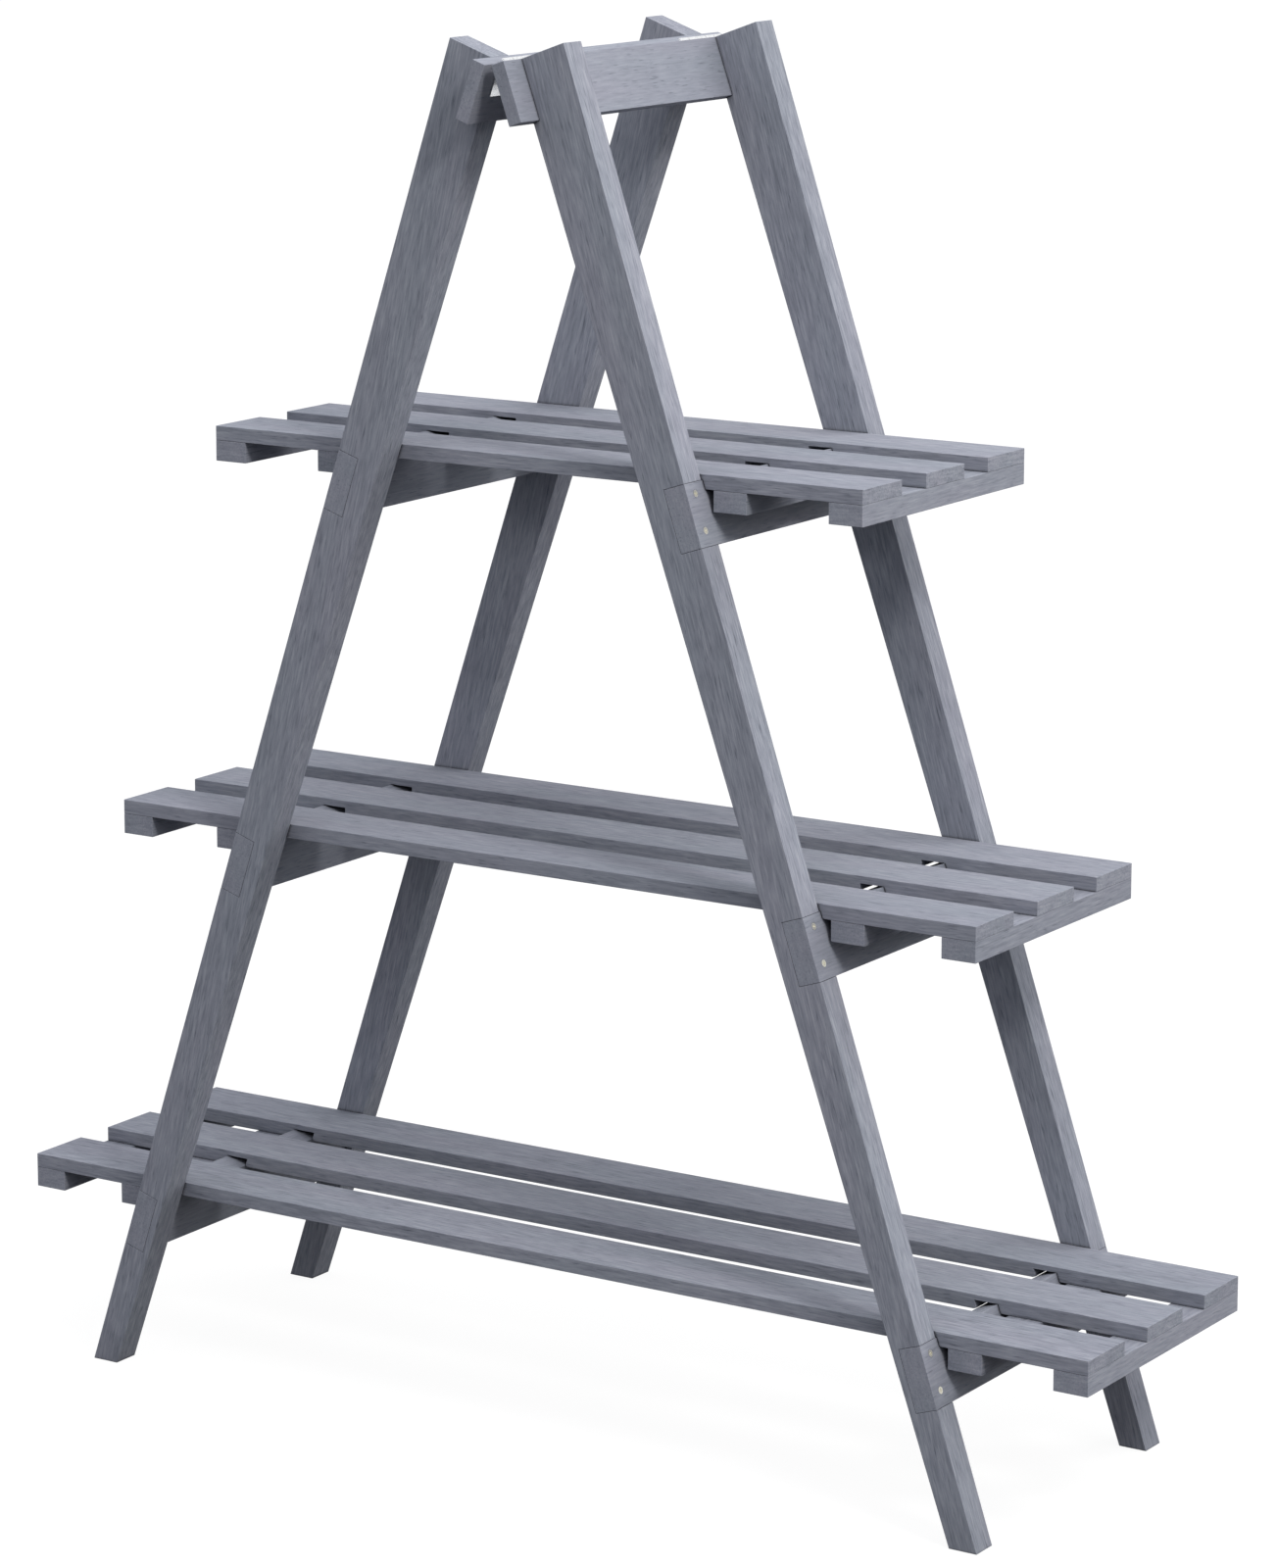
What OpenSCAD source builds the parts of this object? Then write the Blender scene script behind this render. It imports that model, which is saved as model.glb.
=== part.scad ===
// Plant ladder stand: two ladders hinged together at the top, with three slatted shelves
// that lie across the rungs of both ladders and lift off.
// Millimetres. +Z is up, X runs along the shelves, -Y is the front.
// The origin is on the floor, at the centre of the footprint.

/* [Legs] */
// height of the outer corner at the top of a leg
stand_h = 1338; // [1280:1:1400]
// lean of a leg's inner edge from the vertical, in degrees
lean = 19.52; // [18.5:0.01:20.5]
// thickness of a leg from front to back
leg_t = 29; // [26:0.5:34]
// width of a leg at its top end, square to the inner edge
leg_top_w = 55.4; // [52:0.1:60]
// length of a foot along the floor
foot_w = 28.9; // [28.5:0.1:34]

/* [Rungs] */
// height of the top rung's upper outer edge
rung_z_top = 948.3; // [920:0.1:970]
// height of the middle rung's upper outer edge
rung_z_middle = 564.6; // [540:0.1:590]
// height of the bottom rung's upper outer edge
rung_z_bottom = 185.3; // [165:0.1:220]
// height of a rung, along the leg
rung_h = 60; // [54:0.5:66]
// thickness of a rung, and depth of its housing in the leg
rung_t = 23; // [20:0.5:24]

/* [Top rails] */
// gap between the upper inner edges of the two rails
rail_gap = 7; // [6.6:0.1:7.6]
// thickness of a rail
rail_t = 14; // [13:0.5:18]
// height of a rail, along the leg
rail_h = 58; // [54:0.5:64]
// depth of the rail's housing in the inner edge of the leg
rail_house = 7.2; // [5:0.1:9]
// length of rail that stands out past each leg
rail_over = 29.3; // [24:0.1:36]

/* [Shelves] */
// length of the top shelf
shelf_l_top = 719; // [680:1:780]
// length of the middle shelf
shelf_l_middle = 960; // [900:1:1010]
// length of the bottom shelf
shelf_l_bottom = 1200; // [1150:1:1260]
// width of a slat
slat_w = 70; // [60:1:80]
// thickness of a slat
slat_t = 14; // [13:0.5:18]
// gap between two slats
slat_gap = 44; // [36:1:52]
// width of a batten along the shelf
batten_w = 35; // [30:1:40]
// height of a batten
batten_h = 20; // [18:0.5:24]
// depth of the notches in the top shelf's slats
notch_d_top = 8.7; // [7:0.1:9.2]
// depth of the notches in the middle shelf's slats
notch_d_middle = 6.7; // [5.5:0.1:9]
// depth of the notches in the bottom shelf's slats
notch_d_bottom = 8.5; // [7:0.1:9.2]

/* [Hinges] */
// length of a hinge
hinge_l = 76; // [64:1:90]
// distance from the end of a rail to the hinge
hinge_inset = 22; // [16:1:30]
// distance from the pin's centre to the lower edge of a leaf
leaf_h = 34.5; // [30:0.5:38]
// thickness of a leaf
leaf_t = 1.4; // [1.2:0.1:1.6]
// radius of the barrel
barrel_r = 3.2; // [3:0.1:3.4]
// radius of the pin
pin_r = 1.5; // [1.3:0.1:1.7]
// distance from the pin's centre to the rail's face
hinge_gap = 2.75; // [2.6:0.05:2.9]
// number of knuckles in a barrel, an odd number
knuckles = 5; // [3:2:7]

/* [Screws] */
// length of a wood screw
screw_l = 28; // [25:0.5:28]
// radius of a wood screw's shank
screw_r = 1.9; // [1.6:0.1:2.2]
// radius of a wood screw's head
screw_head_r = 3.4; // [3.1:0.1:3.8]
// length of a hinge screw
hinge_screw_l = 12; // [10:0.5:13]
// radius of a hinge screw's shank
hinge_screw_r = 1.4; // [1.2:0.1:1.5]
// radius of a hinge screw's head
hinge_screw_head_r = 2.5; // [2.3:0.1:2.6]
// distance from a rung's upper edge to its upper screw
rung_screw_upper = 10.6; // [9:0.1:14]
// distance from a rung's upper edge to its lower screw
rung_screw_lower = 45.2; // [40:0.1:46]
// distance from a rail's upper edge to its screws, which lie behind the hinges
rail_screw_drop = 27.5; // [25:0.5:28]

/* [Fits] */
// clearance between a shelf and the leg beside it
side_gap = 1.5; // [1:0.1:2.5]
// clearance between a rung's upper edge and the roof of a notch
seat_gap = 0.1; // [0.1:0.05:0.5]
// least clearance between a top or middle rung and the square inner wall of its notch
notch_run = 3.3; // [3:0.1:5]
// clearance between a bottom rung and the inner wall of its notch, which leans with the rung
notch_lean_run = 0.3; // [0.2:0.1:2]
// clearance between a bottom rung that swings inwards and the bevelled mouth of its notch
swing_gap = 0.12; // [0.12:0.02:0.4]
// clearance between a rung and the outer wall of a notch
notch_back = 0.5; // [0.4:0.1:1]
// clearance between a rung's outer face and the batten beside it, at the batten's underside
batten_gap = 2.6; // [1.5:0.1:4]
// clearance round a rung or rail in its housing
house_gap = 0.1; // [0.05:0.05:0.3]
// clearance round a screw in its pilot hole
pilot_gap = 0.05; // [0.05:0.01:0.1]
// clearance round a screw where it passes through a piece
clear_gap = 0.2; // [0.1:0.05:0.4]
// clearance between the pin and a knuckle
pin_gap = 0.05; // [0.03:0.01:0.1]
// gap between two knuckles, and between a knuckle and the other leaf
knuckle_gap = 0.3; // [0.2:0.05:0.4]

/* [Hidden] */
// facets of round pieces
$fn = 36;
// length by which a cut runs past the face it opens
over = 1;
// gap between a leaf and the rail under it
bed_gap = 0.02;
// depth, width and length of the cross in a screw head, as shares of the head's radius
cross_d = 0.35;
cross_w = 0.28;
cross_l = 1.2;
// length by which a clearance hole runs on into the next piece
clear_run = 0.5;
// length of a screw's point, as a share of the shank's radius
point_l = 2.5;
// radius and thickness of the riveted ends of a pin, past the barrel
rivet_r = pin_r + 0.8;
rivet_t = 0.6;
// distance from a leaf's end to its first screw, and heights of the outer and middle screws
leaf_end = 12;
leaf_screw_low = leaf_h - 8;
leaf_screw_high = leaf_h - 19;

// one row for each shelf: top, middle, bottom
shelf_l = [shelf_l_top, shelf_l_middle, shelf_l_bottom];
rung_z = [rung_z_top, rung_z_middle, rung_z_bottom];
notch_d = [notch_d_top, notch_d_middle, notch_d_bottom];
// whether the inner walls of a shelf's notches lean with its rungs
leans = [false, false, true];

shelf_d = 3 * slat_w + 2 * slat_gap;
leg_in_y = shelf_d / 2 + side_gap;
leg_out_y = leg_in_y + leg_t;
leg_mid_y = leg_in_y + leg_t / 2;
rail_l = 2 * (leg_out_y + rail_over);

// distance from the rail's inner face to the leg's inner edge
rail_proud = rail_t - rail_house;
// upper inner corner of the right rail, as x and z
rail_x = rail_gap / 2;
rail_z = stand_h - (rail_proud + leg_top_w) * sin(lean);
// corners of the right leg, as x and z
top_out = [rail_x + (rail_proud + leg_top_w) * cos(lean), stand_h];
top_in = [rail_x + rail_proud * cos(lean), rail_z + rail_proud * sin(lean)];
foot_in = [top_in[0] + top_in[1] * tan(lean), 0];
foot_out = [foot_in[0] + foot_w, 0];
// lean of a leg's outer edge from the vertical
out_lean = atan((foot_out[0] - top_out[0]) / stand_h);
// height of the hinge pins, above the middle of the gap between the rails
pin_z = rail_z + (rail_x * cos(lean) - hinge_gap) / sin(lean);
hinge_mid_y = rail_l / 2 - hinge_inset - hinge_l / 2;
knuckle_l = hinge_l / knuckles;

// x of the legs' outer edge at a height
function edge_x(z) = foot_out[0] - z * tan(out_lean);
// underside of a shelf's slats, and its upper face
function slat_z(i) = rung_z[i] + seat_gap - notch_d[i];
function shelf_z(i) = slat_z(i) + slat_t;
// underside of a shelf's battens
function batten_z(i) = slat_z(i) - batten_h;
// inner side of the batten beside a rung, and of the batten at the shelf's end
function inner_x(i) = edge_x(batten_z(i)) + batten_gap;
function end_x(i) = shelf_l[i] / 2 - batten_w;
// upper inner edge of a rung
function rung_in_x(i) = edge_x(rung_z[i]) - rung_t * cos(out_lean);
function rung_in_z(i) = rung_z[i] - rung_t * sin(out_lean);
// fall of a rung's upper inner edge for each millimetre that it swings inwards from the open stand
function swing_fall(i) = rung_in_x(i) / (pin_z - rung_in_z(i));
// distance a rung swings inwards before its upper inner edge is below the slats
function swing_run(i) = (rung_in_z(i) - slat_z(i)) / swing_fall(i);
function notch_in(i) = rung_in_x(i) - max(notch_run, swing_run(i) + seat_gap);
// a notch with a leaning inner wall: its wall, its bevelled mouth, and the lip where they meet
function wall_x(i, z) = rung_in_x(i) - notch_lean_run - (z - rung_in_z(i)) * tan(out_lean);
function mouth_x(i, z) = rung_in_x(i) - (rung_in_z(i) + swing_gap - z) / swing_fall(i);
function lip_z(i) = rung_in_z(i)
    + (swing_gap - notch_lean_run * swing_fall(i)) / (1 + swing_fall(i) * tan(out_lean));
// middle of a slat, from -1 at the front to 1 at the back
function slat_y(k) = k * (slat_w + slat_gap);

// Frames. Each one is on the right ladder: x points away from the middle of the stand,
// z points up along the edge of the leg.

// at the upper inner edge of the rail
module rail_frame() {
    translate([rail_x, 0, rail_z])
        rotate([0, -lean, 0])
            children();
}

// at the upper outer edge of rung i
module rung_frame(i) {
    translate([edge_x(rung_z[i]), 0, rung_z[i]])
        rotate([0, -out_lean, 0])
            children();
}

// at the centre of the hinge pins
module pin_frame() {
    translate([0, 0, pin_z])
        rotate([0, -lean, 0])
            children();
}

// turns the right side's shape into the left side's when side is -1
module on_side(side) {
    mirror([side < 0 ? 1 : 0, 0, 0])
        children();
}

// box given by its low and high corners
module block(low, high) {
    translate(low)
        cube(high - low);
}

// Screws point along -z, with the head's flat face at z = 0.

module screw(len, r, head_r) {
    point = point_l * r;
    difference() {
        rotate_extrude()
            polygon([[0, 0], [head_r, 0], [r, r - head_r], [r, point - len], [0, -len]]);
        for (turn = [0, 90])
            rotate([0, 0, turn])
                cross_slot(head_r);
    }
}

module cross_slot(head_r) {
    long = cross_l * head_r / 2;
    wide = cross_w * head_r / 2;
    block([-long, -wide, -cross_d * head_r], [long, wide, over]);
}

// hole with a countersink: wide as far as thick, then a pilot hole as deep as the screw
module screw_hole(len, r, head_r, thick) {
    sink = head_r - r;
    rotate_extrude()
        polygon([[0, over], [head_r + pilot_gap, over], [head_r + pilot_gap, 0],
            [r + clear_gap, clear_gap - sink - pilot_gap], [r + clear_gap, -thick - clear_run],
            [r + pilot_gap, -thick - clear_run], [r + pilot_gap, -len - pilot_gap],
            [0, -len - pilot_gap]]);
}

module wood_screw() {
    screw(screw_l, screw_r, screw_head_r);
}

module wood_hole(thick) {
    screw_hole(screw_l, screw_r, screw_head_r, thick);
}

module hinge_screw() {
    screw(hinge_screw_l, hinge_screw_r, hinge_screw_head_r);
}

module hinge_hole() {
    screw_hole(hinge_screw_l, hinge_screw_r, hinge_screw_head_r, leaf_t);
}

// Places of the screws on the right ladder; each child is drawn at every place.

module at_rung_screws(i) {
    for (y = [-leg_mid_y, leg_mid_y])
        for (drop = [rung_screw_upper, rung_screw_lower])
            rung_frame(i)
                translate([0, y, -drop])
                    rotate([0, 90, 0])
                        children();
}

module at_rail_screws() {
    for (end = [-1, 1])
        rail_frame()
            translate([0, end * leg_mid_y, -rail_screw_drop])
                rotate([0, -90, 0])
                    children();
}

module at_hinge_screws() {
    reach = hinge_l / 2 - leaf_end;
    for (end = [-1, 1])
        for (step = [-1, 0, 1])
            pin_frame()
                translate([hinge_gap - leaf_t - bed_gap, end * hinge_mid_y + step * reach,
                    step == 0 ? -leaf_screw_low : -leaf_screw_high])
                    rotate([0, -90, 0])
                        children();
}

// screws of shelf i, from below; the batten at the shelf's end and the one beside the rung
module at_shelf_screws(i) {
    for (side = [-1, 1])
        for (x = [inner_x(i), end_x(i)])
            for (k = [-1, 0, 1])
                translate([side * (x + batten_w / 2), slat_y(k), batten_z(i)])
                    rotate([180, 0, 0])
                        children();
}

// Pieces of the ladders. end is -1 at the front and 1 at the back.

module leg(side, end) {
    color("SlateGray")
        on_side(side)
            difference() {
                translate([0, end * leg_mid_y + leg_t / 2, 0])
                    rotate([90, 0, 0])
                        linear_extrude(height = leg_t)
                            polygon([top_out, top_in, foot_in, foot_out]);
                rail_frame()
                    block([0, -leg_out_y - over, -rail_h - house_gap],
                        [rail_t + house_gap, leg_out_y + over, over]);
                for (i = [0, 1, 2])
                    rung_frame(i)
                        block([-rung_t - house_gap, -leg_out_y - over, -rung_h - house_gap],
                            [over, leg_out_y + over, house_gap]);
                for (i = [0, 1, 2])
                    at_rung_screws(i)
                        wood_hole(rung_t);
                at_rail_screws()
                    wood_hole(rail_t);
            }
}

module rung(side, i) {
    color("LightSlateGray")
        on_side(side)
            difference() {
                rung_frame(i)
                    block([-rung_t, -leg_out_y, -rung_h], [0, leg_out_y, 0]);
                at_rung_screws(i)
                    wood_hole(rung_t);
            }
}

module rail(side) {
    color("LightSlateGray")
        on_side(side)
            difference() {
                rail_frame()
                    block([0, -rail_l / 2, -rail_h], [rail_t, rail_l / 2, 0]);
                at_rail_screws()
                    wood_hole(rail_t);
                at_hinge_screws()
                    hinge_hole();
            }
}

module rung_screws(side) {
    color("Silver")
        on_side(side)
            for (i = [0, 1, 2])
                at_rung_screws(i)
                    wood_screw();
}

module rail_screws(side) {
    color("Silver")
        on_side(side)
            at_rail_screws()
                wood_screw();
}

module hinge_screws(side) {
    color("Silver")
        on_side(side)
            at_hinge_screws()
                hinge_screw();
}

// Hinges: the left leaf has the first, third and fifth knuckle, the right leaf the others.

module knuckle(k) {
    low = -hinge_l / 2 + k * knuckle_l + (k == 0 ? 0 : knuckle_gap / 2);
    high = -hinge_l / 2 + (k + 1) * knuckle_l - (k == knuckles - 1 ? 0 : knuckle_gap / 2);
    block([hinge_gap - leaf_t - bed_gap, low, -barrel_r - knuckle_gap - over],
        [hinge_gap - bed_gap, high, 0]);
    translate([0, high, 0])
        rotate([90, 0, 0])
            cylinder(r = barrel_r, h = high - low);
}

module leaf(side, end) {
    first = side < 0 ? 0 : 1;
    color("Gainsboro")
        on_side(side)
            difference() {
                pin_frame()
                    translate([0, end * hinge_mid_y, 0])
                        union() {
                            block([hinge_gap - leaf_t - bed_gap, -hinge_l / 2, -leaf_h],
                                [hinge_gap - bed_gap, hinge_l / 2, -barrel_r - knuckle_gap]);
                            for (k = [first : 2 : knuckles - 1])
                                knuckle(k);
                        }
                pin_frame()
                    translate([0, end * hinge_mid_y + hinge_l / 2 + over, 0])
                        rotate([90, 0, 0])
                            cylinder(r = pin_r + pin_gap, h = hinge_l + 2 * over);
                at_hinge_screws()
                    hinge_hole();
            }
}

module pin(end) {
    half = hinge_l / 2 + pin_gap;
    color("Gainsboro")
        translate([0, end * hinge_mid_y, pin_z])
            rotate([90, 0, 0])
                rotate_extrude()
                    polygon([[0, -half - rivet_t], [rivet_r, -half - rivet_t], [rivet_r, -half],
                        [pin_r, -half], [pin_r, half], [rivet_r, half],
                        [rivet_r, half + rivet_t], [0, half + rivet_t]]);
}

// Pieces of the shelves. i is 0 for the top shelf, 1 for the middle one, 2 for the bottom one.

module notch(i) {
    roof = rung_z[i] + seat_gap;
    low = slat_z(i) - over;
    inner = leans[i]
        ? [[mouth_x(i, low), low], [wall_x(i, lip_z(i)), lip_z(i)], [wall_x(i, roof), roof]]
        : [[notch_in(i), low], [notch_in(i), roof]];
    outer = [[edge_x(roof) + notch_back, roof], [edge_x(low) + notch_back, low]];
    translate([0, shelf_d, 0])
        rotate([90, 0, 0])
            linear_extrude(height = 2 * shelf_d)
                polygon(concat(inner, outer));
}

module slat(i, k) {
    color("SlateGray")
        difference() {
            block([-shelf_l[i] / 2, slat_y(k) - slat_w / 2, slat_z(i)],
                [shelf_l[i] / 2, slat_y(k) + slat_w / 2, shelf_z(i)]);
            for (side = [-1, 1])
                on_side(side)
                    notch(i);
            at_shelf_screws(i)
                wood_hole(batten_h);
        }
}

module batten(i, x) {
    color("LightSlateGray")
        difference() {
            block([x, -shelf_d / 2, batten_z(i)], [x + batten_w, shelf_d / 2, slat_z(i)]);
            at_shelf_screws(i)
                wood_hole(batten_h);
        }
}

module shelf_screws(i) {
    color("Silver")
        at_shelf_screws(i)
            wood_screw();
}

leg(-1, -1);  // leg_front_left
leg(-1, 1);  // leg_back_left
rail(-1);  // rail_left
rung(-1, 0);  // rung_top_left
rung(-1, 1);  // rung_middle_left
rung(-1, 2);  // rung_bottom_left
rung_screws(-1);  // rung_screws_left
rail_screws(-1);  // rail_screws_left
hinge_screws(-1);  // hinge_screws_left
leaf(-1, -1);  // leaf_front_left
leaf(-1, 1);  // leaf_back_left
pin(-1);  // pin_front
pin(1);  // pin_back
leg(1, -1);  // leg_front_right
leg(1, 1);  // leg_back_right
rail(1);  // rail_right
rung(1, 0);  // rung_top_right
rung(1, 1);  // rung_middle_right
rung(1, 2);  // rung_bottom_right
rung_screws(1);  // rung_screws_right
rail_screws(1);  // rail_screws_right
hinge_screws(1);  // hinge_screws_right
leaf(1, -1);  // leaf_front_right
leaf(1, 1);  // leaf_back_right
slat(0, -1);  // slat_top_front
slat(0, 0);  // slat_top_centre
slat(0, 1);  // slat_top_back
batten(0, -end_x(0) - batten_w);  // batten_top_end_left
batten(0, -inner_x(0) - batten_w);  // batten_top_inner_left
batten(0, inner_x(0));  // batten_top_inner_right
batten(0, end_x(0));  // batten_top_end_right
shelf_screws(0);  // screws_top
slat(1, -1);  // slat_middle_front
slat(1, 0);  // slat_middle_centre
slat(1, 1);  // slat_middle_back
batten(1, -end_x(1) - batten_w);  // batten_middle_end_left
batten(1, -inner_x(1) - batten_w);  // batten_middle_inner_left
batten(1, inner_x(1));  // batten_middle_inner_right
batten(1, end_x(1));  // batten_middle_end_right
shelf_screws(1);  // screws_middle
slat(2, -1);  // slat_bottom_front
slat(2, 0);  // slat_bottom_centre
slat(2, 1);  // slat_bottom_back
batten(2, -end_x(2) - batten_w);  // batten_bottom_end_left
batten(2, -inner_x(2) - batten_w);  // batten_bottom_inner_left
batten(2, inner_x(2));  // batten_bottom_inner_right
batten(2, end_x(2));  // batten_bottom_end_right
shelf_screws(2);  // screws_bottom
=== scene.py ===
import math

import bpy
from mathutils import Matrix, Vector


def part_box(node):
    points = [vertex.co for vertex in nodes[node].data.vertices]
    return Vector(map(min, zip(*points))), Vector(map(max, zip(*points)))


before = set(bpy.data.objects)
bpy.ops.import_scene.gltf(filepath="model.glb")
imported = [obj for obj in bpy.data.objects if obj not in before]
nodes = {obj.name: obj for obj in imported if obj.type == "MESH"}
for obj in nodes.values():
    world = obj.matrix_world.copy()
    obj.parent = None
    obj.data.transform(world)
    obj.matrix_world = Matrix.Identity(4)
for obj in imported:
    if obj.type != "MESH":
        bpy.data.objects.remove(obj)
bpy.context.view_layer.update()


# directions are in degrees: azimuth round from the front to the right, elevation above the floor
def wayTo(azimuth, elevation):
    az, el = math.radians(azimuth), math.radians(elevation)
    return Vector((math.sin(az) * math.cos(el), -math.cos(az) * math.cos(el), math.sin(el)))


def placeInScene(thing):
    bpy.context.scene.collection.objects.link(thing)


# camera, fitted to the photograph's edges
cameraView = {
    "target": (-0.01089, 0.0, 0.72821),   # metres, the point it is turned about
    "distance": 4.98157,
    "azimuth": 33.1907,
    "elevation": 10.99576,
    "picture": (1302, 1600),              # the photograph's size in pixels
    "focalPixels": 5320.52,
    "centrePixel": (617.10, 683.03),      # where the lens axis meets the picture
    "sensor": 36,                         # millimetres, along the picture's longer side
    "clip": (0.1, 100),
}


def makeCamera(v):
    width, height = v["picture"]
    across, down = v["centrePixel"]
    longer = max(width, height)
    lens = bpy.data.cameras.new("standCamera")
    lens.sensor_width = v["sensor"]
    lens.lens = v["focalPixels"] / longer * v["sensor"]
    lens.shift_x = (width / 2 - across) / longer
    lens.shift_y = (down - height / 2) / longer
    lens.clip_start, lens.clip_end = v["clip"]
    camera = bpy.data.objects.new("standCamera", lens)
    away = wayTo(v["azimuth"], v["elevation"])
    camera.location = Vector(v["target"]) + away * v["distance"]
    camera.rotation_euler = (math.pi / 2 - math.radians(v["elevation"]), 0, math.radians(v["azimuth"]))
    placeInScene(camera)
    bpy.context.scene.camera = camera


makeCamera(cameraView)
print("camera placed")


# small helpers for node trees; nodes are laid out in rows in the order they are made
nodeRows = {"perRow": 9, "across": 210, "down": 420}


def clearTree(owner):
    owner.use_nodes = True
    owner.node_tree.nodes.clear()
    return owner.node_tree


def addNode(tree, kind, settings=None, **values):
    row, column = divmod(len(tree.nodes), nodeRows["perRow"])
    node = tree.nodes.new(kind)
    node.location = (column * nodeRows["across"], -row * nodeRows["down"])
    for name, value in (settings or {}).items():
        setattr(node, name, value)
    for name, value in values.items():
        node.inputs[name.replace("_", " ")].default_value = value
    return node


def addMath(tree, operation, *terms):
    node = addNode(tree, "ShaderNodeMath", {"operation": operation})
    for socket, term in zip(node.inputs, terms):
        if isinstance(term, (int, float)):
            socket.default_value = term
        else:
            tree.links.new(term, socket)
    return node.outputs[0]


def addRange(tree, source, fromTo, toTo=(0, 1), easing="LINEAR"):
    node = addNode(
        tree, "ShaderNodeMapRange", {"interpolation_type": easing},
        From_Min=fromTo[0], From_Max=fromTo[1], To_Min=toTo[0], To_Max=toTo[1],
    )
    tree.links.new(source, node.inputs["Value"])
    return node.outputs[0]


def addRamp(tree, source, stops):
    node = addNode(tree, "ShaderNodeValToRGB")
    ramp = node.color_ramp
    while len(ramp.elements) < len(stops):
        ramp.elements.new(0.5)
    for element, (place, colour) in zip(ramp.elements, stops):
        element.position = place
        element.color = (*colour, 1)
    tree.links.new(source, node.inputs["Fac"])
    return node.outputs["Color"]


def tintBy(tree, colour, tint):
    node = addNode(tree, "ShaderNodeMix", {"data_type": "RGBA", "blend_type": "MULTIPLY"}, Factor=1)
    tree.links.new(colour, node.inputs["A"])
    tree.links.new(tint, node.inputs["B"])
    return node.outputs["Result"]


# stained timber: fine straight fibres, growth layers and pores, with a blue-grey stain over them
timber = {
    "dark": (0.134, 0.145, 0.178),     # stain where it soaks in
    "middle": (0.276, 0.290, 0.341),
    "light": (0.428, 0.442, 0.494),    # hard late wood, where the stain sits thin
    "cool": (0.988, 1.004, 0.998),     # the stain drifts between a cooler
    "warm": (1.012, 0.996, 1.002),     # and a warmer grey
    "hueFrom": (0.36, 0.64),
    "strayBy": 0.0045,                 # metres that the grain strays sideways, so no line is ruler straight
    "endOnFrom": (0.6, 0.9),           # how squarely a face cuts the grain before it counts as end grain
    "layerShow": (0.10, 0.75),         # growth layers, on long faces and on end grain
    "fineShow": (1, 0.80),             # fibres and streaks, on the same two
    "endShade": 0.99,                  # end grain drinks more stain
    "poreFrom": (0.60, 0.74),
    "poreShare": 0.26,
    "wearRadius": 0.0016,              # how far in from an arris the stain is rubbed
    "wearFrom": (0.995, 0.86),         # how far the rounded normal still agrees with the face
    "wearGaps": (0.35, 0.65),          # the wear comes in broken runs
    "wearLight": 0.10,
    "seamReach": 0.0030,               # how far from seams and inner corners the colour is darkened: dark joint lines, and painted shade in the corners
    "seamFrom": (0.30, 0.95),          # how open a spot is where the shade is full, and where it ends
    "seamShade": 0.20,
    "hollowReach": 0.012,              # painted shade: narrow hollows, such as the notches, are drawn dark
    "hollowFrom": (0.08, 0.42),
    "hollowShade": 0.22,
    "recessReach": 0.060,              # painted shade: faces that look into a gap or a corner are drawn a little darker
    "recessFrom": (0.70, 1),
    "recessShade": 0.88,
    "roughness": (0.82, 0.66),         # soaked wood, then hard late wood
    "specular": 0.06,
    "ior": 1.45,
    "fibreHeight": 0.5,
    "poreHeight": 0.6,
    "bumpStrength": 0.6,
    "bumpDepth": 0.00022,
    "bevelSamples": 4,
    "shadeSamples": 6,
}

# noise cells a metre along, across and through the piece, the noise's detail and roughness, its share
grainNoise = {
    "stray": {"cells": (2.4, 6, 6), "detail": 2, "rough": 0.5},
    "fibre": {"cells": (34, 560, 560), "detail": 3, "rough": 0.6, "share": 0.95},
    "streak": {"cells": (40, 300, 300), "detail": 3, "rough": 0.65, "share": 0.62},
    "pore": {"cells": (60, 620, 620), "detail": 1, "rough": 0.5},
    "band": {"cells": (2.6, 55, 55), "detail": 3, "rough": 0.55, "share": 0.17},
    "cloud": {"cells": (3.0, 9, 9), "detail": 3, "rough": 0.55, "share": 0.18},
    "layer": {"cells": (3.5, 60, 520), "detail": 2, "rough": 0.5},
    "hue": {"cells": (4, 26, 26), "detail": 2, "rough": 0.5},
}


# the timber's colour: stain, grain and worn arrises, with painted shade in seams, corners, hollows and
# recesses
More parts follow.
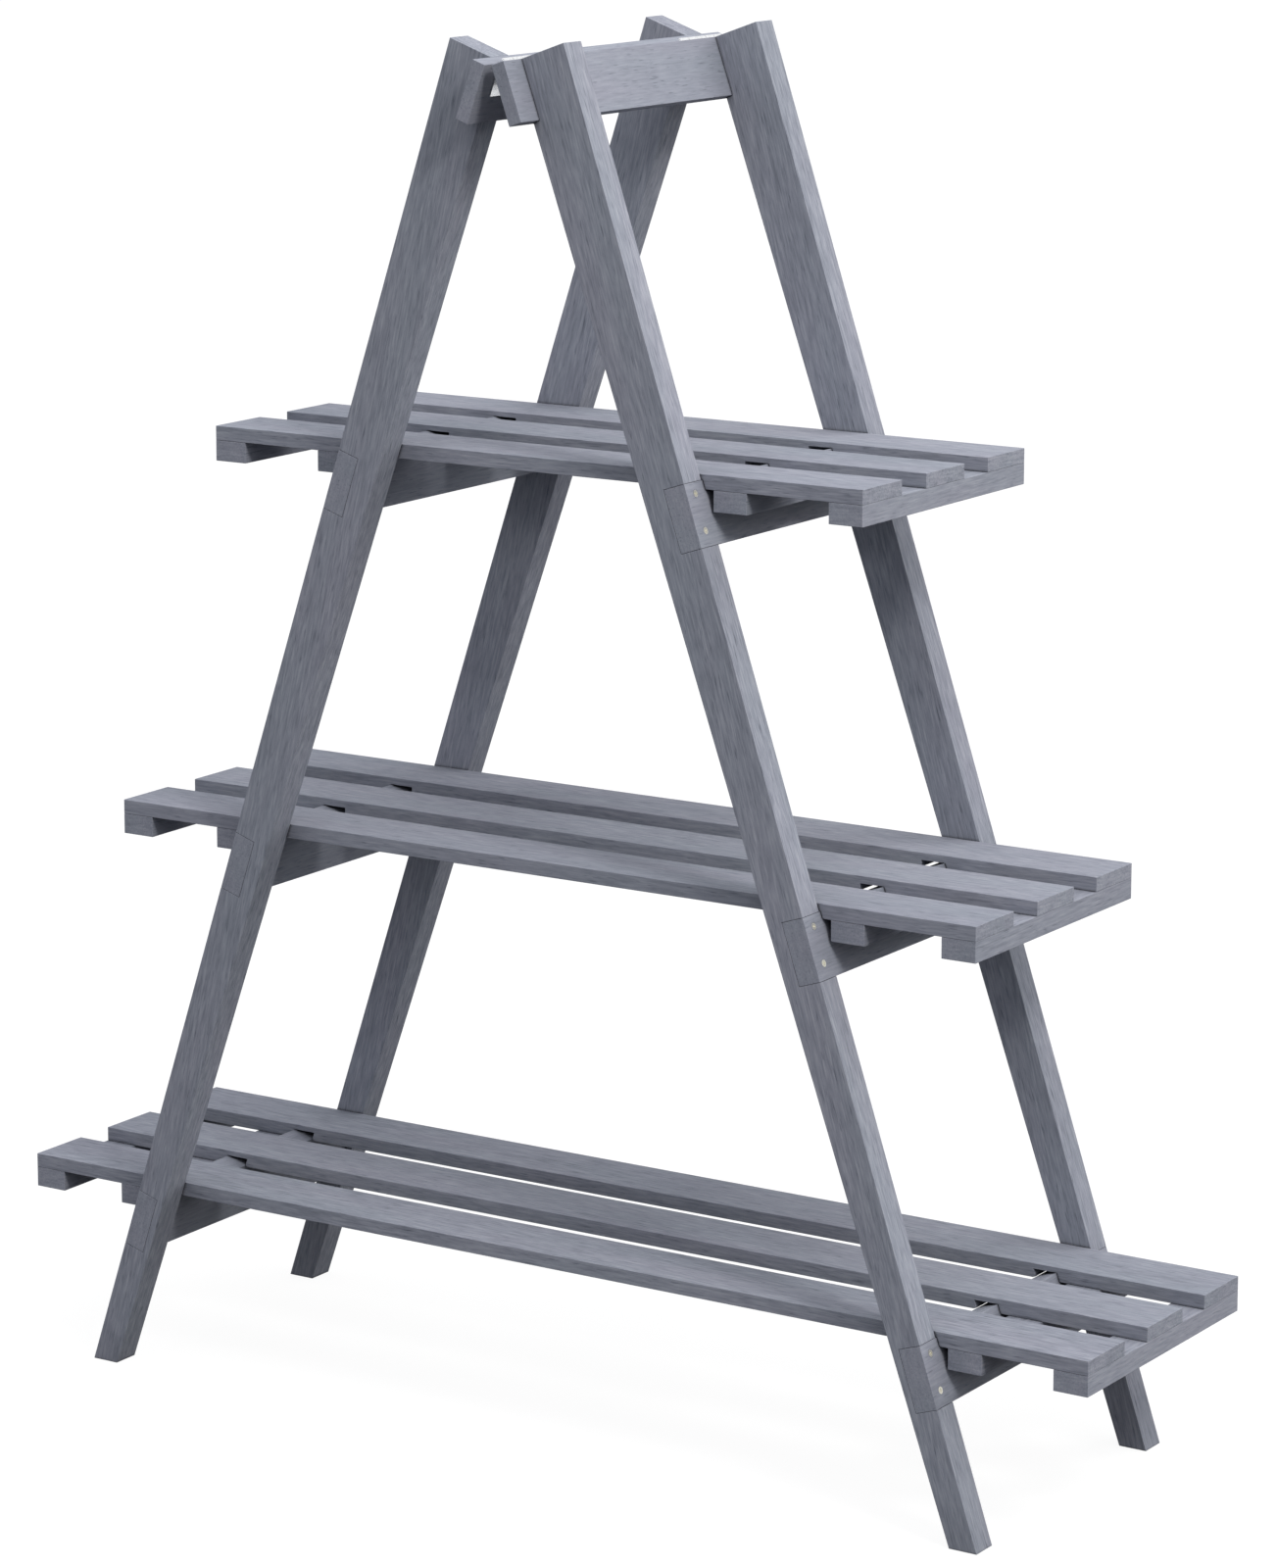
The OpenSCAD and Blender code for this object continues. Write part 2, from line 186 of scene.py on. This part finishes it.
def grainAndShadeGroup(t, noises):
    tree = bpy.data.node_groups.new("stainedGrainAndPaintedShade", "ShaderNodeTree")
    addSocket, link = tree.interface.new_socket, tree.links.new
    for name in ("Place", "Facing"):
        addSocket(name, in_out="INPUT", socket_type="NodeSocketVector")
    for name in ("Tone", "Figure", "Clouds", "Seed"):
        addSocket(name, in_out="INPUT", socket_type="NodeSocketFloat")
    addSocket("Color", in_out="OUTPUT", socket_type="NodeSocketColor")
    for name in ("Roughness", "Height"):
        addSocket(name, in_out="OUTPUT", socket_type="NodeSocketFloat")
    given = addNode(tree, "NodeGroupInput").outputs

    def noise(source, name):
        look = noises[name]
        scaled = addNode(tree, "ShaderNodeMapping", Scale=look["cells"])
        link(source, scaled.inputs["Vector"])
        made = addNode(
            tree, "ShaderNodeTexNoise", {"noise_dimensions": "4D"},
            Scale=1, Detail=look["detail"], Roughness=look["rough"],
        )
        link(scaled.outputs[0], made.inputs["Vector"])
        link(given["Seed"], made.inputs["W"])
        return made

    def swing(source, share):   # noise as a change either way of nothing
        return addMath(tree, "MULTIPLY", addMath(tree, "SUBTRACT", source, 0.5), share)

    # the grain strays a little
    centred = addNode(tree, "ShaderNodeVectorMath", {"operation": "SUBTRACT"})
    centred.inputs[1].default_value = (0.5, 0.5, 0.5)
    link(noise(given["Place"], "stray").outputs["Color"], centred.inputs[0])
    pushed = addNode(tree, "ShaderNodeVectorMath", {"operation": "MULTIPLY_ADD"})
    pushed.inputs[1].default_value = (0, t["strayBy"], t["strayBy"])
    link(centred.outputs[0], pushed.inputs[0])
    link(given["Place"], pushed.inputs[2])
    place = pushed.outputs[0]

    fibre = noise(place, "fibre").outputs["Fac"]
    streak = noise(place, "streak").outputs["Fac"]
    pore = noise(place, "pore").outputs["Fac"]
    band = noise(place, "band").outputs["Fac"]
    cloud = noise(place, "cloud").outputs["Fac"]
    layer = noise(place, "layer").outputs["Fac"]
    hue = noise(place, "hue").outputs["Fac"]

    # 1 on end grain, 0 on long faces
    parts = addNode(tree, "ShaderNodeSeparateXYZ")
    link(given["Facing"], parts.inputs[0])
    squarely = addMath(tree, "ABSOLUTE", parts.outputs["X"])
    endOn = addRange(tree, squarely, t["endOnFrom"], easing="SMOOTHSTEP")
    layerShare = addRange(tree, endOn, (0, 1), t["layerShow"])
    fineShare = addRange(tree, endOn, (0, 1), t["fineShow"])

    # tone: the fine lines, then bands, clouds, the piece's own tone and the pores
    fibres = swing(fibre, noises["fibre"]["share"])
    streaks = swing(streak, noises["streak"]["share"])
    fine = addMath(tree, "MULTIPLY", addMath(tree, "ADD", fibres, streaks), fineShare)
    fine = addMath(tree, "ADD", fine, swing(layer, layerShare))
    fine = addMath(tree, "MULTIPLY", fine, given["Figure"])
    tone = addMath(tree, "ADD", fine, 0.5)
    tone = addMath(tree, "ADD", tone, swing(band, noises["band"]["share"]))
    patches = addMath(tree, "MULTIPLY", swing(cloud, noises["cloud"]["share"]), given["Clouds"])
    tone = addMath(tree, "ADD", tone, patches)
    tone = addMath(tree, "ADD", tone, given["Tone"])
    deep = addRange(tree, pore, t["poreFrom"], easing="SMOOTHSTEP")
    tone = addMath(tree, "SUBTRACT", tone, addMath(tree, "MULTIPLY", deep, t["poreShare"]))
    colour = addRamp(tree, tone, [(0.0, t["dark"]), (0.5, t["middle"]), (1.0, t["light"])])

    # the stain's drift in hue, then the darker end grain
    drift = addRamp(tree, hue, [(t["hueFrom"][0], t["cool"]), (t["hueFrom"][1], t["warm"])])
    colour = tintBy(tree, colour, drift)
    darker = addNode(tree, "ShaderNodeMix", {"data_type": "RGBA", "blend_type": "MULTIPLY"})
    darker.inputs["B"].default_value = (t["endShade"],) * 3 + (1,)
    link(endOn, darker.inputs["Factor"])
    link(colour, darker.inputs["A"])

    # wear: arrises lose some stain, where the rounded normal leaves the plain one
    rounded = addNode(tree, "ShaderNodeBevel", {"samples": t["bevelSamples"]}, Radius=t["wearRadius"])
    plain = addNode(tree, "ShaderNodeNewGeometry")
    both = addNode(tree, "ShaderNodeVectorMath", {"operation": "DOT_PRODUCT"})
    link(rounded.outputs[0], both.inputs[0])
    link(plain.outputs["Normal"], both.inputs[1])
    arris = addRange(tree, both.outputs["Value"], t["wearFrom"])
    runs = addMath(tree, "MULTIPLY", addRange(tree, streak, t["wearGaps"]), t["wearLight"])
    rubbed = addNode(tree, "ShaderNodeMix", {"data_type": "RGBA"})
    rubbed.inputs["B"].default_value = (*t["light"], 1)
    link(addMath(tree, "MULTIPLY", arris, runs), rubbed.inputs["Factor"])
    link(darker.outputs["Result"], rubbed.inputs["A"])
    colour = rubbed.outputs["Result"]

    # darkened where little around a spot is open: dark joint lines at the seams, and painted shade in inner
    # corners, in narrow hollows and, faintly, in wider recesses
    for part in ("seam", "hollow", "recess"):
        reach, openness, shade = t[part + "Reach"], t[part + "From"], t[part + "Shade"]
        shut = addNode(tree, "ShaderNodeAmbientOcclusion", {"samples": t["shadeSamples"]}, Distance=reach)
        colour = tintBy(tree, colour, addRange(tree, shut.outputs["AO"], openness, (shade, 1)))

    height = addMath(
        tree, "SUBTRACT",
        addMath(tree, "MULTIPLY", fibre, t["fibreHeight"]),
        addMath(tree, "MULTIPLY", deep, t["poreHeight"]),
    )
    made = addNode(tree, "NodeGroupOutput").inputs
    link(colour, made["Color"])
    link(addRange(tree, tone, (0, 1), t["roughness"]), made["Roughness"])
    link(height, made["Height"])
    return tree


grain = grainAndShadeGroup(timber, grainNoise)


# along and across say how the grain lies in the piece; look holds the piece's tone, figure and clouds
def timberMaterial(name, centre, along, across, look, seed):
    along, across = Vector(along).normalized(), Vector(across).normalized()
    turn = Matrix((along, across, along.cross(across)))
    material = bpy.data.materials.new(name)
    tree = clearTree(material)
    link = tree.links.new
    coords = addNode(tree, "ShaderNodeTexCoord")
    place = addNode(tree, "ShaderNodeMapping", Rotation=turn.to_euler(), Location=-(turn @ centre))
    facing = addNode(tree, "ShaderNodeMapping", {"vector_type": "VECTOR"}, Rotation=turn.to_euler())
    link(coords.outputs["Object"], place.inputs["Vector"])
    link(coords.outputs["Normal"], facing.inputs["Vector"])
    wood = addNode(
        tree, "ShaderNodeGroup", {"node_tree": grain},
        Tone=look["tone"], Figure=look["figure"], Clouds=look["clouds"], Seed=seed,
    )
    link(place.outputs[0], wood.inputs["Place"])
    link(facing.outputs[0], wood.inputs["Facing"])
    relief = addNode(tree, "ShaderNodeBump", Strength=timber["bumpStrength"], Distance=timber["bumpDepth"])
    link(wood.outputs["Height"], relief.inputs["Height"])
    surface = addNode(
        tree, "ShaderNodeBsdfPrincipled",
        Metallic=0, IOR=timber["ior"], Specular_IOR_Level=timber["specular"],
    )
    link(wood.outputs["Color"], surface.inputs["Base Color"])
    link(wood.outputs["Roughness"], surface.inputs["Roughness"])
    link(relief.outputs[0], surface.inputs["Normal"])
    out = addNode(tree, "ShaderNodeOutputMaterial")
    link(surface.outputs[0], out.inputs["Surface"])
    return material


# plated steel, for the screws and the hinges
steel = {
    "screw": {"colour": (0.93, 0.91, 0.82), "rough": (0.42, 0.62)},
    "hinge": {"colour": (0.92, 0.93, 0.95), "rough": (0.12, 0.32)},
    "brush": (60, 60, 900),      # cells a metre of the brushed lines
    "spots": 260,                # cells a metre of the duller spots
    "spotsFrom": (0.35, 0.62),
    "spotShade": 0.90,
    "detail": 3,
    "bumpStrength": 0.25,
    "bumpDepth": 0.00005,
}


def steelMaterial(name, look):
    material = bpy.data.materials.new(name)
    tree = clearTree(material)
    link = tree.links.new
    coords = addNode(tree, "ShaderNodeTexCoord")
    lines = addNode(tree, "ShaderNodeMapping", Scale=steel["brush"])
    brushed = addNode(tree, "ShaderNodeTexNoise", Scale=1, Detail=steel["detail"])
    spots = addNode(tree, "ShaderNodeTexNoise", Scale=steel["spots"], Detail=steel["detail"])
    link(coords.outputs["Object"], lines.inputs["Vector"])
    link(lines.outputs[0], brushed.inputs["Vector"])
    link(coords.outputs["Object"], spots.inputs["Vector"])
    clean = look["colour"]
    dull = tuple(steel["spotShade"] * part for part in clean)
    dullest, cleanest = steel["spotsFrom"]
    tint = addRamp(tree, spots.outputs["Fac"], [(dullest, dull), (cleanest, clean)])
    relief = addNode(tree, "ShaderNodeBump", Strength=steel["bumpStrength"], Distance=steel["bumpDepth"])
    link(brushed.outputs["Fac"], relief.inputs["Height"])
    surface = addNode(tree, "ShaderNodeBsdfPrincipled", Metallic=1)
    link(tint, surface.inputs["Base Color"])
    link(addRange(tree, brushed.outputs["Fac"], (0, 1), look["rough"]), surface.inputs["Roughness"])
    link(relief.outputs[0], surface.inputs["Normal"])
    out = addNode(tree, "ShaderNodeOutputMaterial")
    link(surface.outputs[0], out.inputs["Surface"])
    return material


screwSteel = steelMaterial("screwSteel", steel["screw"])
hingeSteel = steelMaterial("hingeSteel", steel["hinge"])


# how the wooden pieces differ; a piece's own name goes before its kind
lean = math.radians(19.52)    # of the ladders, from upright
woodLooks = {
    "legGrain": {"left": math.radians(13.5), "right": math.radians(-16)},   # steeper than the legs
    "figure": {                # strength of the fine lines
        "leg": 1.12, "rail": 0.55, "rung": 0.62, "batten": 0.85, "slat": 1.0,
        "slat_middle_front": 0.85, "slat_bottom_front": 1.10,
    },
    "clouds": {"leg": 1.0, "rail": 1.0, "rung": 1.0, "batten": 1.0, "slat": 1.7},
    # these pieces are drawn darker all over, by the amounts given
    "darker": {
        "leg_back_right": 0.05, "slat_bottom_centre": 0.03,
        "batten_bottom_inner_right": 0.05, "rail_right": 0.03,
    },
    "toneSpread": 0.03,        # pieces differ a little in tone
    "toneStep": 2.4,
}
easing = {"arris": 0.0005, "steps": 2, "sharpest": 35, "weld": 0.00001, "flat": 0.5}   # metres and degrees


# the grain's direction in a piece, and the one across it
def grainOf(name):
    if name.startswith("leg"):
        slope = woodLooks["legGrain"][name.split("_")[-1]]
        along = (math.sin(slope), 0, math.cos(slope))
        across = (math.cos(slope), 0, -math.sin(slope))
        return along, across
    if name.startswith(("rung", "rail")):
        side = 1 if name.endswith("left") else -1
        return (0, 1, 0), (side * math.sin(lean), 0, math.cos(lean))
    if name.startswith("batten"):
        return (0, 1, 0), (1, 0, 0)
    return (1, 0, 0), (0, 1, 0)


# flat faces are joined up first, so that only the real edges are rounded
def easeEdges(piece):
    weld = piece.modifiers.new("weld", "WELD")
    weld.merge_threshold = easing["weld"]
    flat = piece.modifiers.new("flat", "DECIMATE")
    flat.decimate_type = "DISSOLVE"
    flat.angle_limit = math.radians(easing["flat"])
    ease = piece.modifiers.new("ease", "BEVEL")
    ease.width = easing["arris"]
    ease.segments = easing["steps"]
    ease.limit_method = "ANGLE"
    ease.angle_limit = math.radians(easing["sharpest"])
    ease.use_clamp_overlap = False
    ease.harden_normals = True


def setMaterial(piece, material):
    piece.data.materials.clear()
    piece.data.materials.append(material)


def finishWood(piece, name, count):
    kind = name.split("_")[0]
    figure = woodLooks["figure"]
    first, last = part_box(name)
    along, across = grainOf(name)
    tone = woodLooks["toneSpread"] * math.sin(count * woodLooks["toneStep"])
    look = {
        "tone": tone - woodLooks["darker"].get(name, 0),
        "figure": figure.get(name, figure[kind]),
        "clouds": woodLooks["clouds"][kind],
    }
    centre = (first + last) / 2
    setMaterial(piece, timberMaterial("timber_" + name, centre, along, across, look, count + 1))
    easeEdges(piece)


for count, (name, piece) in enumerate(sorted(nodes.items())):
    if "screws" in name:
        setMaterial(piece, screwSteel)
    elif name.startswith(("leaf", "pin")):
        setMaterial(piece, hingeSteel)
    else:
        finishWood(piece, name, count)
print("timber and steel finished")


# plain white floor that keeps a faint shadow
floorLook = {
    "size": 60,
    "height": -0.0004,
    "colour": (0.07, 0.07, 0.07),   # what lights the stand from below
    "glow": 0.92,                   # with the share, white to the camera
    "shadowShare": 0.12,            # how much of the floor's own light the camera sees
}

# soft room: from is where the light comes from, and a higher power makes it narrower
roomLight = {
    "sky": {"from": (0, 0, 1), "power": 1, "level": 0.83, "colour": (0.99, 0.995, 1.02)},
    "side": {"from": (0.707, 0.707, 0), "power": 2, "level": 1.84, "colour": (1, 0.99, 0.97)},
    "front": {"from": (0, -0.866, 0.5), "power": 1, "level": 0.50, "colour": (0.97, 0.99, 1.06)},
}


# 1 where the camera, a reflection or glass looks, so that the background is white there
def whiteFor(tree):
    path = addNode(tree, "ShaderNodeLightPath").outputs
    seen = addMath(tree, "MAXIMUM", path["Is Camera Ray"], path["Is Glossy Ray"])
    return addMath(tree, "MAXIMUM", seen, path["Is Transmission Ray"])


def addShaders(tree, first, second):
    node = addNode(tree, "ShaderNodeAddShader")
    tree.links.new(first, node.inputs[0])
    tree.links.new(second, node.inputs[1])
    return node.outputs[0]


def finishTree(tree, lighting, seen, kind):
    pick = addNode(tree, "ShaderNodeMixShader")
    out = addNode(tree, kind)
    for source, socket in zip((whiteFor(tree), lighting, seen), pick.inputs):
        tree.links.new(source, socket)
    tree.links.new(pick.outputs[0], out.inputs["Surface"])


def makeFloor(look):
    half = look["size"] / 2
    corners = [(-half, -half, 0), (half, -half, 0), (half, half, 0), (-half, half, 0)]
    mesh = bpy.data.meshes.new("floor")
    mesh.from_pydata(corners, [], [(0, 1, 2, 3)])
    floor = bpy.data.objects.new("floor", mesh)
    floor.location.z = look["height"]
    placeInScene(floor)
    material = bpy.data.materials.new("paleFloor")
    tree = clearTree(material)
    matt = addNode(tree, "ShaderNodeBsdfDiffuse", Color=(*look["colour"], 1))
    thin = addNode(tree, "ShaderNodeBsdfDiffuse", Color=(look["shadowShare"],) * 3 + (1,))
    glow = addNode(tree, "ShaderNodeEmission", Color=(1, 1, 1, 1), Strength=look["glow"])
    seen = addShaders(tree, thin.outputs[0], glow.outputs[0])
    finishTree(tree, matt.outputs[0], seen, "ShaderNodeOutputMaterial")
    setMaterial(floor, material)


def makeWorld(lights):
    world = bpy.data.worlds.new("studio")
    bpy.context.scene.world = world
    tree = clearTree(world)
    sky = addNode(tree, "ShaderNodeTexCoord")
    soft = None
    for look in lights.values():
        facing = addNode(tree, "ShaderNodeVectorMath", {"operation": "DOT_PRODUCT"})
        facing.inputs[1].default_value = look["from"]
        tree.links.new(sky.outputs["Generated"], facing.inputs[0])
        level = addMath(tree, "MAXIMUM", facing.outputs["Value"], 0)
        level = addMath(tree, "POWER", level, look["power"])
        level = addMath(tree, "MULTIPLY", level, look["level"])
        glow = addNode(tree, "ShaderNodeBackground", Color=(*look["colour"], 1))
        tree.links.new(level, glow.inputs["Strength"])
        soft = addShaders(tree, soft, glow.outputs[0]) if soft else glow.outputs[0]
    white = addNode(tree, "ShaderNodeBackground", Color=(1, 1, 1, 1), Strength=1)
    finishTree(tree, soft, white.outputs[0], "ShaderNodeOutputWorld")


# round soft lamps, all aimed at the middle of the stand
lamps = {
    "key": {"azimuth": 65, "elevation": 42, "distance": 4.5, "size": 0.95, "power": 76},
    "high": {"azimuth": 65, "elevation": 66, "distance": 3.8, "size": 0.8, "power": 23},
}
lampColour = (1, 0.985, 0.95)
lampAim = (0, 0, 0.65)


def makeLamp(name, look):
    light = bpy.data.lights.new(name, "AREA")
    light.shape = "DISK"
    light.size = look["size"]
    light.energy = look["power"]
    light.color = lampColour
    away = wayTo(look["azimuth"], look["elevation"])
    lamp = bpy.data.objects.new(name, light)
    lamp.location = Vector(lampAim) + away * look["distance"]
    lamp.rotation_euler = away.to_track_quat("Z", "Y").to_euler()
    placeInScene(lamp)


makeFloor(floorLook)
makeWorld(roomLight)
for name, look in lamps.items():
    makeLamp(name, look)
bpy.context.scene.view_settings.view_transform = "Standard"
print("floor, world and lamps placed")
